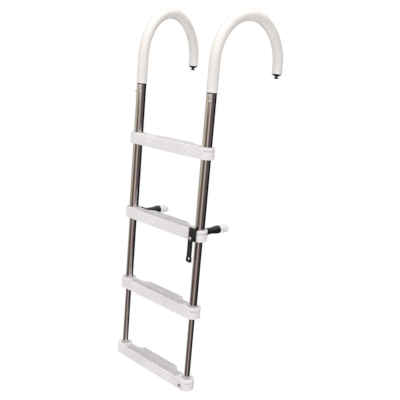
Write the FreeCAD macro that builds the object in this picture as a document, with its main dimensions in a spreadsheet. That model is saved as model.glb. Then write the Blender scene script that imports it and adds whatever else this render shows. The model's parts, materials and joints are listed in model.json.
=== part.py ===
"""Boat boarding ladder that hooks over a gunwale and closes like a telescope.

Three pairs of stainless tubes slide inside each other and carry four moulded steps.
A pair of vinyl-covered hooks swivels in the top of the upper rails, and two hinged
stand-off arms on the second step keep the ladder away from the hull.

Frame: +X to the right as seen by the person climbing, +Y towards the boat, +Z up.
The origin is midway between the rails, level with the base of the lowest step.
"""
import FreeCAD, Part
import math
import os
import re

import Sketcher

Vector = FreeCAD.Vector

doc = FreeCAD.newDocument("boarding_ladder")
sheet = doc.addObject("Spreadsheet::Sheet", "sizes")

SIZES = (
    # rails: three tube sizes that slide inside each other
    ("rail_spacing", 332.0, "between the centre lines of the two rails"),
    ("upper_tube", 31.75, "outside diameter of the upper rails and of the hooks"),
    ("middle_tube", 25.4, "outside diameter of the middle rails"),
    ("lower_tube", 19.05, "outside diameter of the lower rails"),
    ("tube_wall", 1.2, "wall of every rail"),
    ("slide_gap", 0.08, "radial clearance of what slides or turns"),
    ("seat_gap", 0.05, "clearance round what is fixed in a hole"),
    # steps
    ("step_height", 37.0, "base of a step to its tread"),
    ("lower_spacing", 258.5, "base of step 4 to base of step 3"),
    ("middle_spacing", 263.5, "base of step 3 to base of step 2"),
    ("upper_spacing", 264.5, "base of step 2 to base of step 1"),
    ("stack_gap", 0.5, "left between two steps when the ladder is closed"),
    ("boss_radius", 25.5, "end of a step, round the rail; also its front face"),
    ("notch_depth", 13.0, "rear edge beside the bosses"),
    ("bulge_depth", 31.0, "rear edge in the middle, under the foot"),
    ("bulge_half", 84.0, "half length of the deep middle"),
    ("bulge_ramp", 20.0, "length of the slope from notch to middle"),
    ("bulge_round", 9.0, "radius of the corners of the deep middle"),
    ("edge_round", 2.4, "radius round the tread"),
    ("base_bevel", 0.8, "bevel round the base of a step"),
    ("step_wall", 3.0, "wall of the moulding"),
    ("tread_skin", 4.5, "thickness of the tread"),
    ("cavity_half", 132.0, "half length of the hollow underside"),
    ("rib_thick", 2.4, "stiffening ribs under the tread"),
    ("rib_pitch", 33.0, "between the cross ribs"),
    ("groove_width", 2.8, "anti-slip grooves from front to back"),
    ("groove_fine", 1.8, "width of the grooves along the step and round the rails"),
    ("groove_deep", 1.5, "depth of the anti-slip grooves"),
    ("groove_pitch", 9.8, "between the cross grooves"),
    ("groove_row", 7.5, "between the grooves along the step"),
    ("groove_margin", 4.0, "tread left plain along its edge"),
    ("ring_gap", 2.5, "rail to the groove round it"),
    ("slot_drop", 10.5, "tread to the drip slot round a step's end"),
    ("slot_height", 3.0, "height of the drip slot"),
    ("slot_deep", 1.6, "depth of the drip slot"),
    ("slot_angle", 132.0, "how far the drip slot goes round"),
    # bushes, glides and end plugs
    ("flange_thick", 3.0, "flange of a bush or plug that closes a step's bore"),
    ("bush_length", 25.0, "bush inside the end of a tube"),
    ("glide_length", 18.0, "glide round the head of a tube"),
    ("glide_cap", 2.0, "cap of the glide over the tube's end"),
    ("vent_radius", 4.0, "drain hole through a glide"),
    ("plug_length", 14.0, "plug inside the foot of a lower rail"),
    # hooks
    ("hook_radius", 153.5, "radius of the bend, along the tube's centre line"),
    ("hook_wall", 1.5, "wall of the hook tube"),
    ("near_leg", 90.0, "straight part above the swivel"),
    ("far_leg", 20.5, "straight part behind the gunwale"),
    ("sleeve_wall", 1.6, "vinyl over the hook tube"),
    ("rail_head", 954.0, "foot of the hooks above the tread of step 4"),
    ("left_turn", 12.0, "how far the left hook stands turned out"),
    ("swivel_range", 90.0, "straight back to flat in the plane of the rails"),
    ("swivel_collar", 3.0, "collar between rail and hook"),
    ("spigot_up", 35.0, "spigot inside the hook tube"),
    ("spigot_down", 45.0, "spigot inside the rail"),
    ("swivel_screw_drop", 27.0, "foot of the hook to its retaining screw"),
    ("swivel_screw_turn", 30.0, "screw, turned outwards from the front"),
    ("swivel_groove_deep", 3.0, "groove that the retaining screw runs in"),
    ("swivel_groove_gap", 0.4, "groove all round the screw"),
    ("spigot_lead", 1.5, "bevel at the foot of the spigot"),
    ("shoulder_radius", 15.0, "end plug where it covers the tube's rim"),
    ("shoulder_thick", 3.0, "straight part of that shoulder"),
    ("shoulder_taper", 5.0, "cone under the shoulder"),
    ("hook_plug_length", 18.0, "end plug inside the hook tube"),
    ("stud_neck", 4.5, "radius of the locating stud's neck"),
    ("stud_neck_long", 4.0, "length of that neck"),
    ("stud_head", 7.5, "radius of the locating stud's head"),
    ("stud_head_thick", 4.0, "thickness of that head"),
    ("stud_shank", 3.0, "radius of the stud inside the plug"),
    ("stud_bevel", 0.8, "bevel round the stud's head"),
    # screws
    ("screw_radius", 2.4, "shank of every screw"),
    ("screw_head", 4.4, "radius of a screw's head"),
    ("screw_head_tall", 2.2, "height of a screw's head"),
    ("head_crown", 0.6, "flat top of a head, as a share of its radius"),
    # stand-off arms
    ("arm_inset", 16.0, "arm's centre line inboard of the rail"),
    ("bracket_width", 26.0, "bracket, across both ears"),
    ("bracket_height", 34.0, "base of the bracket"),
    ("bracket_skin", 2.5, "base of the bracket behind the step's boss"),
    ("tongue_width", 16.0, "arm between the ears"),
    ("tongue_gap", 0.3, "beside the tongue"),
    ("pivot_reach", 14.5, "boss of the step to the arm's pivot"),
    ("ear_radius", 9.0, "ears round the pivot"),
    ("tongue_radius", 8.5, "arm round the pivot"),
    ("arm_pin", 3.5, "radius of the pivot pin"),
    ("arm_pin_bevel", 0.6, "bevel at the pin's ends"),
    ("arm_shoulder", 3.0, "where the arm's round part starts beyond its tongue"),
    ("bracket_screw_rise", 13.2, "pivot to each bracket screw"),
    ("bracket_screw_sink", 2.4, "depth of the screw's counterbore"),
    ("bracket_screw_head", 3.4, "radius of the bracket screw's head"),
    ("bracket_screw_bite", 10.0, "bracket screw beyond the rear of the bosses"),
    ("arm_radius", 10.7, "slim part of the arm"),
    ("arm_mouth", 13.5, "flared end of the arm"),
    ("arm_length", 65.0, "pivot to the end of the arm"),
    ("arm_flare_start", 36.0, "pivot to where the arm flares"),
    ("arm_flare_end", 56.0, "pivot to where the flare ends"),
    ("bumper_length", 40.0, "white bumper that stands out of the arm"),
    ("bumper_radius", 14.2, "bumper at its widest"),
    ("bumper_round", 7.0, "rounding of the bumper's nose"),
    ("bumper_stem", 8.0, "radius of the stem in the arm"),
    ("bumper_stem_long", 15.0, "length of that stem"),
    # retaining strap
    ("strap_inset", 4.0, "strap's centre line inboard of the right rail"),
    ("strap_bracket_width", 31.0, "black bracket behind the strap"),
    ("strap_bracket_thick", 4.0, "plate on the front of the step"),
    ("strap_bracket_rise", 6.0, "plate above the tread"),
    ("strap_lip", 2.5, "lip over the tread"),
    ("strap_lip_gap", 3.625, "lip to the rail behind it"),
    ("pivot_boss_radius", 8.5, "round boss that holds the strap off the plate"),
    ("pivot_boss_tall", 3.2, "height of that boss"),
    ("strap_pivot_height", 9.6, "base of step 2 to the strap's pivot"),
    ("strap_half", 9.5, "half width of the strap"),
    ("strap_thick", 3.4, "thickness of the strap"),
    ("strap_side_gap", 0.3, "on each face of the strap"),
    ("strap_pin", 3.0, "radius of the rivet that the strap hangs on"),
    ("strap_pin_head", 6.0, "radius of the rivet's head"),
    ("strap_tab", 12.0, "pull tab beyond the buttonhole, and its half width"),
    ("strap_hole", 4.4, "radius of the buttonhole"),
    ("keeper_height", 18.0, "base of step 4 to the keeper"),
    ("keeper_neck", 4.0, "radius of the keeper's neck"),
    ("keeper_neck_long", 4.0, "length of the keeper's neck"),
    ("keeper_head", 6.0, "radius of the keeper's head"),
    ("keeper_head_thick", 2.4, "thickness of the keeper's head"),
)
for row, (alias, value, meaning) in enumerate(SIZES, start=1):
    sheet.set("A%d" % row, meaning)
    sheet.set("B%d" % row, str(value))
    sheet.setAlias("B%d" % row, alias)
doc.recompute()

ALIASES = {alias for alias, value, meaning in SIZES}
NODES = []

# places that several pieces share, as formulas over the sheet
RAIL_X = "rail_spacing / 2"
STEP_BASE = {
    1: "(lower_spacing + middle_spacing + upper_spacing)",
    2: "(lower_spacing + middle_spacing)",
    3: "lower_spacing",
    4: "0",
}
HOOK_FOOT = "(rail_head + step_height)"
RAIL_TOP = "(%s - swivel_collar - slide_gap)" % HOOK_FOOT
UPPER_BORE = "(upper_tube / 2 - tube_wall)"
MIDDLE_BORE = "(middle_tube / 2 - tube_wall)"
LOWER_BORE = "(lower_tube / 2 - tube_wall)"
HOOK_BORE = "(upper_tube / 2 - hook_wall)"
STRAP_X = "(rail_spacing / 2 - strap_inset)"
STRAP_LIP = "(boss_radius - upper_tube / 2 - strap_lip_gap)"
PLATE_FRONT = "(boss_radius + strap_bracket_thick)"
BOSS_FRONT = "(%s + pivot_boss_tall)" % PLATE_FRONT
STRAP_FRONT = "(%s + strap_thick + 2 * strap_side_gap)" % BOSS_FRONT
STRAP_REACH = "(2 * step_height + 2 * stack_gap + strap_pivot_height - keeper_height)"
PIVOT_Y = "(boss_radius + pivot_reach)"
MIDDLE = "step_height / 2"
SIDES = (("left", -1), ("right", 1))


# --- helpers -----------------------------------------------------------------------

def formula(text):
    """The text with each alias written as an expression reads it from the sheet."""
    def alias_or_word(match):
        word = match.group()
        return "sizes." + word if word in ALIASES else word
    return re.sub(r"[a-z_]\w*", alias_or_word, text)


def size(text):
    """What a formula comes to now."""
    return float(sheet.evalExpression(text))


def bind(thing, field, text):
    thing.setExpression(field, formula(text))


def start(label, x="0", y="0", z="0", axis=None, turn="0"):
    """An empty body at a place, turned about an axis by a number of degrees."""
    body = doc.addObject("PartDesign::Body", label)
    body.Label = label
    if axis is not None:
        body.Placement = FreeCAD.Placement(Vector(), FreeCAD.Rotation(axis, 1.0))
        bind(body, "Placement.Rotation.Angle", turn)
    for letter, place in zip("xyz", (x, y, z)):
        bind(body, "Placement.Base." + letter, place)
    return body


def node(body):
    NODES.append(body)
    return body


def group(label, bodies):
    """Identical fasteners, kept as separate solids of one node."""
    together = doc.addObject("Part::Compound", label)
    together.Label = label
    together.Links = bodies
    return node(together)


def draw(body, plane, away="0", turn="0"):
    """A sketch on one of the body's planes, moved off it or turned about its upright axis."""
    role = {"XY": "XY_Plane", "XZ": "XZ_Plane", "YZ": "YZ_Plane"}[plane]
    sketch = body.newObject("Sketcher::SketchObject", "sketch")
    face = [part for part in body.Origin.OriginFeatures if part.Role == role][0]
    sketch.AttachmentSupport = [(face, "")]
    sketch.MapMode = "FlatFace"
    if turn != "0":
        sketch.AttachmentOffset = FreeCAD.Placement(Vector(), FreeCAD.Rotation(Vector(0, 1, 0), 1.0))
        bind(sketch, "AttachmentOffset.Rotation.Angle", turn)
    bind(sketch, "AttachmentOffset.Base.z", away)
    return sketch


def pin_point(sketch, geometry, end, x, y):
    """Hold one point of a sketch at a place given by two formulas."""
    for kind, text in (("DistanceX", x), ("DistanceY", y)):
        if text is None:
            continue
        sketch.addConstraint(Sketcher.Constraint(kind, -1, 1, geometry, end, size(text)))
        name = "size_%d" % sketch.ConstraintCount
        sketch.renameConstraint(sketch.ConstraintCount - 1, name)
        bind(sketch, "Constraints." + name, text)


def polygon(sketch, corners):
    first = sketch.GeometryCount
    points = [Vector(size(x), size(y), 0) for x, y in corners]
    for here, there in zip(points, points[1:] + points[:1]):
        sketch.addGeometry(Part.LineSegment(here, there), False)
    for index, (x, y) in enumerate(corners):
        following = (index + 1) % len(corners)
        sketch.addConstraint(Sketcher.Constraint("Coincident", first + index, 2, first + following, 1))
        pin_point(sketch, first + index, 1, x, y)
    return sketch


def rectangle(sketch, x0, y0, x1, y1):
    return polygon(sketch, [(x0, y0), (x1, y0), (x1, y1), (x0, y1)])


def circle(sketch, x, y, radius):
    shape = Part.Circle(Vector(size(x), size(y), 0), Vector(0, 0, 1), size(radius))
    index = sketch.addGeometry(shape, False)
    pin_point(sketch, index, 3, x, y)
    sketch.addConstraint(Sketcher.Constraint("Radius", index, size(radius)))
    name = "size_%d" % sketch.ConstraintCount
    sketch.renameConstraint(sketch.ConstraintCount - 1, name)
    bind(sketch, "Constraints." + name, radius)
    return sketch


def pad(body, sketch, length, both=False, back=False):
    made = body.newObject("PartDesign::Pad", "pad")
    made.Profile = sketch
    made.Midplane = both
    made.Reversed = back
    bind(made, "Length", length)
    doc.recompute()
    return made


def pocket(body, sketch, length, both=False, back=False):
    """Cut a sketch out of the body, and make sure that something was cut."""
    doc.recompute()
    before = body.Shape.Volume
    made = body.newObject("PartDesign::Pocket", "pocket")
    made.Profile = sketch
    made.Refine = False
    made.Midplane = both
    made.Reversed = back
    bind(made, "Length", length)
    doc.recompute()
    if not body.Shape.Volume < before:
        raise RuntimeError("a pocket of %s cuts nothing" % body.Label)
    return made


def turned(label, profile, **place):
    """A piece turned on a lathe: radius and height of each corner of its half section."""
    body = start(label, **place)
    spin(body, polygon(draw(body, "XZ"), profile))
    return body


def spin(body, sketch):
    made = body.newObject("PartDesign::Revolution", "spin")
    made.Profile = sketch
    made.ReferenceAxis = (sketch, ["V_Axis"])
    made.Angle = 360.0
    doc.recompute()
    return made


def groove(body, sketch, angle):
    """Cut a sketch round the body's upright axis, half of the angle to each side."""
    doc.recompute()
    before = body.Shape.Volume
    made = body.newObject("PartDesign::Groove", "groove")
    made.Profile = sketch
    made.ReferenceAxis = (sketch, ["V_Axis"])
    made.Midplane = True
    bind(made, "Angle", angle)
    doc.recompute()
    if not body.Shape.Volume < before:
        raise RuntimeError("a groove of %s cuts nothing" % body.Label)
    return made


def repeat(body, feature, sketch, axis, length, count):
    """The feature again and again along an axis of its sketch."""
    made = body.newObject("PartDesign::LinearPattern", "repeat")
    made.Originals = [feature]
    made.Refine = False
    made.Direction = (sketch, [axis])
    made.Occurrences = count
    bind(made, "Length", length)
    body.Tip = made
    doc.recompute()
    return made


def round_edges(body, radius, wanted):
    """Round the edges of the body's shape that the test picks."""
    doc.recompute()
    base = body.Tip
    names = ["Edge%d" % number for number, edge in enumerate(base.Shape.Edges, start=1) if wanted(edge)]
    if not names:
        raise RuntimeError("no edge of %s to round" % body.Label)
    made = body.newObject("PartDesign::Fillet", "round")
    made.Base = (base, names)
    bind(made, "Radius", radius)
    doc.recompute()
    return made


def bevel_edges(body, width, wanted):
    doc.recompute()
    base = body.Tip
    names = ["Edge%d" % number for number, edge in enumerate(base.Shape.Edges, start=1) if wanted(edge)]
    if not names:
        raise RuntimeError("no edge of %s to bevel" % body.Label)
    made = body.newObject("PartDesign::Chamfer", "bevel")
    made.Base = (base, names)
    bind(made, "Size", width)
    doc.recompute()
    return made


def level(edge, height, slack=0.001):
    return all(abs(vertex.Point.z - height) < slack for vertex in edge.Vertexes)


# --- rails -------------------------------------------------------------------------

def rail(label, x, low, high, outside, screw_heights):
    """A tube with a hole through its rear wall for each screw that holds a step."""
    body = start(label, x=x, z=low)
    ring = draw(body, "XY")
    circle(ring, "0", "0", "%s / 2" % outside)
    circle(ring, "0", "0", "%s / 2 - tube_wall" % outside)
    pad(body, ring, "%s - %s" % (high, low))
    for height in screw_heights:
        hole = circle(draw(body, "XZ"), "0", "%s - %s" % (height, low), "screw_radius + seat_gap")
        pocket(body, hole, "%s / 2 + 1" % outside)
    return node(body)


def bush(label, x, base, outside, inside):
    """Flanged guide in the foot of one tube, for the next tube to slide in."""
    bore = "(%s / 2 - tube_wall)" % outside
    hole = "%s / 2 + slide_gap" % inside
    profile = [
        (hole, "0"),
        ("%s / 2" % outside, "0"),
        ("%s / 2" % outside, "flange_thick"),
        (bore, "flange_thick"),
        (bore, "flange_thick + bush_length"),
        (hole, "flange_thick + bush_length"),
    ]
    return node(turned(label, profile, x=x, z=base))


def glide(label, x, seat, outer_bore, tube):
    """Head of a sliding tube: runs in the tube outside it and stops on that tube's bush."""
    top = "glide_length + glide_cap"
    profile = [
        ("%s / 2" % tube, "0"),
        ("%s - slide_gap" % outer_bore, "0"),
        ("%s - slide_gap" % outer_bore, top),
        ("vent_radius", top),
        ("vent_radius", "glide_length"),
        ("%s / 2" % tube, "glide_length"),
    ]
    return node(turned(label, profile, x=x, z=seat))


def rails():
    seat = "flange_thick + bush_length"
    head = "%s + glide_length" % seat
    for side, sign in SIDES:
        x = "%d * %s" % (sign, RAIL_X)
        upper = rail(
            side + "_upper_rail", x, "(%s + flange_thick)" % STEP_BASE[2], RAIL_TOP, "upper_tube",
            ["%s + %s" % (STEP_BASE[1], MIDDLE)],
        )
        swivel_screw_hole(upper, sign)
        rail(
            side + "_middle_rail", x, "(%s + flange_thick)" % STEP_BASE[3],
            "(%s + %s)" % (STEP_BASE[2], head), "middle_tube",
            ["%s + %s" % (STEP_BASE[3], MIDDLE)],
        )
        rail(
            side + "_lower_rail", x, "flange_thick", "(%s + %s)" % (STEP_BASE[3], head), "lower_tube",
            [MIDDLE],
        )
        bush(side + "_upper_bush", x, STEP_BASE[2], "upper_tube", "middle_tube")
        bush(side + "_middle_bush", x, STEP_BASE[3], "middle_tube", "lower_tube")
        glide(side + "_middle_glide", x, "%s + %s" % (STEP_BASE[2], seat), UPPER_BORE, "middle_tube")
        glide(side + "_lower_glide", x, "%s + %s" % (STEP_BASE[3], seat), MIDDLE_BORE, "lower_tube")
        foot_plug(side + "_foot_plug", x)


def foot_plug(label, x):
    """Closes a lower rail, flush with the base of step 4."""
    profile = [
        ("0", "0"),
        ("lower_tube / 2", "0"),
        ("lower_tube / 2", "flange_thick"),
        (LOWER_BORE, "flange_thick"),
        (LOWER_BORE, "flange_thick + plug_length"),
        ("0", "flange_thick + plug_length"),
    ]
    return node(turned(label, profile, x=x))


# --- steps -------------------------------------------------------------------------

def step(number, tube, front_hole=None):
    """A moulded step: bosses round the rails, a deep middle, ribs below and grooves on top."""
    body = start("step_%d" % number, z=STEP_BASE[number])
    ramp_end = "(bulge_half + bulge_ramp)"
    bar = [
        ("-%s" % RAIL_X, "-boss_radius"),
        (RAIL_X, "-boss_radius"),
        (RAIL_X, "notch_depth"),
        (ramp_end, "notch_depth"),
        ("bulge_half", "bulge_depth"),
        ("-bulge_half", "bulge_depth"),
        ("-%s" % ramp_end, "notch_depth"),
        ("-%s" % RAIL_X, "notch_depth"),
    ]
    pad(body, polygon(draw(body, "XY"), bar), "step_height")
    ends = draw(body, "XY")
    for sign in (-1, 1):
        circle(ends, "%d * %s" % (sign, RAIL_X), "0", "boss_radius")
    pad(body, ends, "step_height")

    corners = (size("bulge_half"), size(ramp_end))

    def bulge_corner(edge):
        tips = [vertex.Point for vertex in edge.Vertexes]
        upright = len(tips) == 2 and (tips[0] - tips[1]).cross(Vector(0, 0, 1)).Length < 0.001
        return upright and any(abs(abs(tips[0].x) - place) < 0.01 for place in corners)

    round_edges(body, "bulge_round", bulge_corner)
    round_edges(body, "edge_round", lambda edge: level(edge, size("step_height")))
    bevel_edges(body, "base_bevel", lambda edge: level(edge, 0))

    hollow(body)
    for sign in (-1, 1):
        bore = circle(draw(body, "XY"), "%d * %s" % (sign, RAIL_X), "0", "%s / 2 + seat_gap" % tube)
        pocket(body, bore, "step_height", back=True)
    drip_slots(body)
    if number != 2:
        for sign in (-1, 1):
            hole = circle(draw(body, "XZ"), "%d * %s" % (sign, RAIL_X), MIDDLE, "screw_radius + seat_gap")
            pocket(body, hole, "boss_radius + 1")
    else:
        bracket_screw_holes(body)
    if front_hole is not None:
        height, radius, depth = front_hole
        hole = circle(draw(body, "XZ", away="boss_radius"), STRAP_X, height, radius)
        pocket(body, hole, depth)
    tread(body, tube)
    return node(body)


def bracket_screw_holes(body):
    """Pilot holes in the back of the bosses, for the stand-off brackets."""
    for sign in (-1, 1):
        for up in (-1, 1):
            hole = circle(
                draw(body, "XZ", away="-boss_radius"), "%d * (%s - arm_inset)" % (sign, RAIL_X),
                "%s + %d * bracket_screw_rise" % (MIDDLE, up), "screw_radius + seat_gap",
            )
            pocket(body, hole, "bracket_screw_bite", back=True)


def hollow(body):
    """The open underside, with one long rib and evenly spaced cross ribs in it."""
    front = "-boss_radius + step_wall"
    notch = "notch_depth - step_wall"
    deep = "bulge_depth - step_wall"
    ramp_end = "(bulge_half + bulge_ramp - step_wall)"
    bulge_end = "(bulge_half - step_wall)"
    outline = [
        ("-cavity_half", front),
        ("cavity_half", front),
        ("cavity_half", notch),
        (ramp_end, notch),
        (bulge_end, deep),
        ("-%s" % bulge_end, deep),
        ("-%s" % ramp_end, notch),
        ("-cavity_half", notch),
    ]
    pocket(body, polygon(draw(body, "XY"), outline), "step_height - tread_skin", back=True)
    long_rib = rectangle(draw(body, "XY"), "-cavity_half", "-rib_thick / 2", "cavity_half", "rib_thick / 2")
    pad(body, long_rib, "step_height - tread_skin")
    count = 2 * int(size("(cavity_half - rib_thick) / rib_pitch")) + 1
    run = "%d * rib_pitch" % (count - 1)
    cross = rectangle(
        draw(body, "XY"), "-%s / 2 - rib_thick / 2" % run, front, "-%s / 2 + rib_thick / 2" % run,
        "notch_depth - step_wall / 2",
    )
    rib = pad(body, cross, "step_height - tread_skin")
    repeat(body, rib, cross, "H_Axis", run, count)


def tread(body, tube):
    """Anti-slip grooves: a ring round each rail, rows from front to back, and rows across them."""
    floor = "step_height - groove_deep"
    height = "groove_deep + edge_round"
    reach = "(cavity_half + groove_width)"
    front = "-boss_radius + groove_margin"
    for sign in (-1, 1):
        ring = draw(body, "XY", away=floor)
        for beyond in ("ring_gap", "ring_gap + groove_fine"):
            circle(ring, "%d * %s" % (sign, RAIL_X), "0", "%s / 2 + %s" % (tube, beyond))
        pocket(body, ring, height, back=True)

    middle_count = 2 * int(size("(bulge_half - groove_margin) / groove_pitch")) + 1
    middle_run = "%d * groove_pitch" % (middle_count - 1)
    row = rectangle(
        draw(body, "XY", away=floor), "-%s / 2 - groove_width / 2" % middle_run, front,
        "-%s / 2 + groove_width / 2" % middle_run, "bulge_depth - groove_margin",
    )
    cut = pocket(body, row, height, back=True)
    repeat(body, cut, row, "H_Axis", middle_run, middle_count)

    side_count = int(size("(%s - %s / 2) / groove_pitch" % (reach, middle_run)))
    for sign in (-1, 1):
        if side_count < 1:
            break
        edge = "%d * (%s / 2 + groove_pitch)" % (sign, middle_run)
        side = rectangle(
            draw(body, "XY", away=floor), "%s - groove_width / 2" % edge, front,
            "%s + groove_width / 2" % edge, "notch_depth - groove_margin",
        )
        cut = pocket(body, side, height, back=True)
        if side_count > 1:
            made = repeat(body, cut, side, "H_Axis", "%d * groove_pitch" % (side_count - 1), side_count)
            made.Reversed = sign < 0

    along = rectangle(draw(body, "XY", away=floor), "-%s" % reach, front, reach, "%s + groove_fine" % front)
    cut = pocket(body, along, height, back=True)
    rows = int(size("(boss_radius + notch_depth - 2 * groove_margin) / 2 / groove_row")) + 1
    if rows > 1:
        repeat(body, cut, along, "V_Axis", "%d * groove_row" % (rows - 1), rows)


def drip_slots(body):
    """A shallow slot round the outer end of each boss."""
    top = "step_height - slot_drop + slot_height / 2"
    low = "step_height - slot_drop - slot_height / 2"
    for sign in (-1, 1):
        doc.recompute()
        before = body.Shape.Volume
        section = draw(body, "XZ")
        middle = "%d * %s" % (sign, RAIL_X)
        outer = "%s + %d * (boss_radius + 1)" % (middle, sign)
        inner = "%s + %d * (boss_radius - slot_deep)" % (middle, sign)
        rectangle(section, inner, low, outer, top)
        axis = section.addGeometry(
            Part.LineSegment(Vector(size(middle), 0, 0), Vector(size(middle), 10, 0)), True)
        pin_point(section, axis, 1, middle, "0")
        pin_point(section, axis, 2, middle, "step_height")
        made = body.newObject("PartDesign::Groove", "slot")
        made.Profile = section
        made.ReferenceAxis = (section, ["Axis0"])
        made.Midplane = True
        bind(made, "Angle", "slot_angle")
        doc.recompute()
        if not body.Shape.Volume < before:
            raise RuntimeError("a slot of %s cuts nothing" % body.Label)


def screw(label, length, head, head_tall, **place):
    """Points along -Z from under its head, which stands on the origin."""
    profile = [
        ("0", "-%s" % length),
        ("screw_radius", "-%s" % length),
        ("screw_radius", "0"),
        (head, "0"),
        (head, "%s / 2" % head_tall),
        ("%s * head_crown" % head, head_tall),
        ("0", head_tall),
    ]
    return turned(label, profile, **place)


def step_screws():
    """One screw through the rear of each boss into the rail, on every step but step 2."""
    tubes = {1: "upper_tube", 3: "middle_tube", 4: "lower_tube"}
    for number, tube in tubes.items():
        made = []
        for side, sign in SIDES:
            made.append(screw(
                "%s_screw_of_step_%d" % (side, number), "(boss_radius - %s / 2 + tube_wall)" % tube,
                "screw_head", "screw_head_tall",
                x="%d * %s" % (sign, RAIL_X), y="boss_radius", z="%s + %s" % (STEP_BASE[number], MIDDLE),
                axis=Vector(1, 0, 0), turn="-90",
            ))
        group("step_%d_screws" % number, made)


# --- hooks -------------------------------------------------------------------------

def swivel_screw_hole(upper, sign):
    """Hole for the retaining screw, turned outwards from the front of the rail."""
    turn = "%d * swivel_screw_turn" % sign
    height = "%s - swivel_screw_drop - (%s + flange_thick)" % (HOOK_FOOT, STEP_BASE[2])
    hole = circle(draw(upper, "XZ", turn=turn), "0", height, "screw_radius + seat_gap")
    pocket(upper, hole, "upper_tube / 2 + 1", back=True)


def bent(label, x, turn, outside, inside):
    """A tube over the hook's path: up, half a circle towards the boat, and down."""
    body = start(label, x=x, z=HOOK_FOOT, axis=Vector(0, 0, 1), turn=turn)
    ring = draw(body, "XY")
    circle(ring, "0", "0", outside)
    circle(ring, "0", "0", inside)
    path = draw(body, "YZ")
    leg, span = size("near_leg"), size("2 * hook_radius")
    path.addGeometry(Part.LineSegment(Vector(0, 0, 0), Vector(0, leg, 0)), False)
    tip = size("near_leg - far_leg")
    bend = Part.Circle(Vector(span / 2, leg, 0), Vector(0, 0, 1), span / 2)
    path.addGeometry(Part.ArcOfCircle(bend, 0.0, math.pi), False)
    path.addGeometry(Part.LineSegment(Vector(span, leg, 0), Vector(span, tip, 0)), False)
    path.addConstraint(Sketcher.Constraint("Coincident", 0, 2, 1, 2))
    path.addConstraint(Sketcher.Constraint("Coincident", 1, 1, 2, 1))
    pin_point(path, 0, 1, "0", "0")
    pin_point(path, 0, 2, "0", "near_leg")
    pin_point(path, 2, 1, "2 * hook_radius", "near_leg")
    pin_point(path, 2, 2, "2 * hook_radius", "near_leg - far_leg")
    pin_point(path, 1, 3, None, "near_leg")
    pipe = body.newObject("PartDesign::AdditivePipe", "bend")
    pipe.Profile = ring
    pipe.Spine = path
    doc.recompute()
    return node(body)


def spigot(label, x, turn, sign):
    """Joins hook and rail: fixed in the hook, turns in the rail, held by a screw in its groove."""
    head = "%s - seat_gap" % HOOK_BORE
    tail = "%s - slide_gap" % UPPER_BORE
    profile = [
        ("0", "-swivel_collar - spigot_down"),
        ("%s - spigot_lead" % tail, "-swivel_collar - spigot_down"),
        (tail, "-swivel_collar - spigot_down + spigot_lead"),
        (tail, "-swivel_collar"),
        ("upper_tube / 2", "-swivel_collar"),
        ("upper_tube / 2", "0"),
        (head, "0"),
        (head, "spigot_up"),
        ("0", "spigot_up"),
    ]
    body = turned(label, profile, x=x, z=HOOK_FOOT, axis=Vector(0, 0, 1), turn=turn)
    middle = "%d * (swivel_screw_turn + swivel_range / 2) - 90" % sign
    half = "(screw_radius + swivel_groove_gap)"
    section = rectangle(
        draw(body, "XZ", turn=middle), "%s - swivel_groove_deep" % tail, "-swivel_screw_drop - %s" % half,
        "%s + 1" % tail, "-swivel_screw_drop + %s" % half,
    )
    groove(body, section, "swivel_range * 1deg + 2 * asin(%s / (%s))" % (half, tail))
    return node(body)


def hook_end(side, x, y, turn):
    """Plug in the far end of the hook, and the stud below it that drops into a deck socket."""
    foot = "%s + near_leg - far_leg" % HOOK_FOOT
    bore = "%s - seat_gap" % HOOK_BORE
    cone_foot = "-shoulder_thick - shoulder_taper"
    hole = "stud_shank + seat_gap"
    plug = [
        (hole, cone_foot),
        ("stud_neck + 1", cone_foot),
        ("shoulder_radius", "-shoulder_thick"),
        ("shoulder_radius", "0"),
        (bore, "0"),
        (bore, "hook_plug_length"),
        (hole, "hook_plug_length"),
    ]
    node(turned(side + "_hook_plug", plug, x=x, y=y, z=foot, axis=Vector(0, 0, 1), turn=turn))
    neck_foot = "%s - stud_neck_long" % cone_foot
    stud = [
        ("0", "%s - stud_head_thick" % neck_foot),
        ("stud_head - stud_bevel", "%s - stud_head_thick" % neck_foot),
        ("stud_head", "%s - stud_head_thick + stud_bevel" % neck_foot),
        ("stud_head", neck_foot),
        ("stud_neck", neck_foot),
        ("stud_neck", cone_foot),
        ("stud_shank", cone_foot),
        ("stud_shank", "hook_plug_length"),
        ("0", "hook_plug_length"),
    ]
    node(turned(side + "_hook_stud", stud, x=x, y=y, z=foot, axis=Vector(0, 0, 1), turn=turn))


def hooks():
    made = []
    for side, sign in SIDES:
        x = "%d * %s" % (sign, RAIL_X)
        turn = "left_turn" if side == "left" else "0"
        bent(side + "_hook_tube", x, turn, "upper_tube / 2", HOOK_BORE)
        bent(side + "_hook_sleeve", x, turn, "upper_tube / 2 + sleeve_wall", "upper_tube / 2 + seat_gap")
        spigot(side + "_hook_spigot", x, turn, sign)
        hook_end(side, "%s - 2 * hook_radius * sin(%s * 1deg)" % (x, turn),
                 "2 * hook_radius * cos(%s * 1deg)" % turn, turn)
        reach = "(upper_tube / 2)"
        angle = "(%d * swivel_screw_turn)" % sign
        made.append(screw(
            side + "_swivel_screw", "(tube_wall + swivel_groove_deep - swivel_groove_gap)",
            "screw_head", "screw_head_tall",
            x="%s + %s * sin(%s * 1deg)" % (x, reach, angle), y="-%s * cos(%s * 1deg)" % (reach, angle),
            z="%s - swivel_screw_drop" % HOOK_FOOT,
        ))
        tilt = FreeCAD.Rotation(Vector(0, 0, 1), size(angle)).multiply(FreeCAD.Rotation(Vector(1, 0, 0), 90))
        made[-1].Placement = FreeCAD.Placement(made[-1].Placement.Base, tilt)
    group("swivel_screws", made)


# --- stand-off arms ----------------------------------------------------------------

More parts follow.
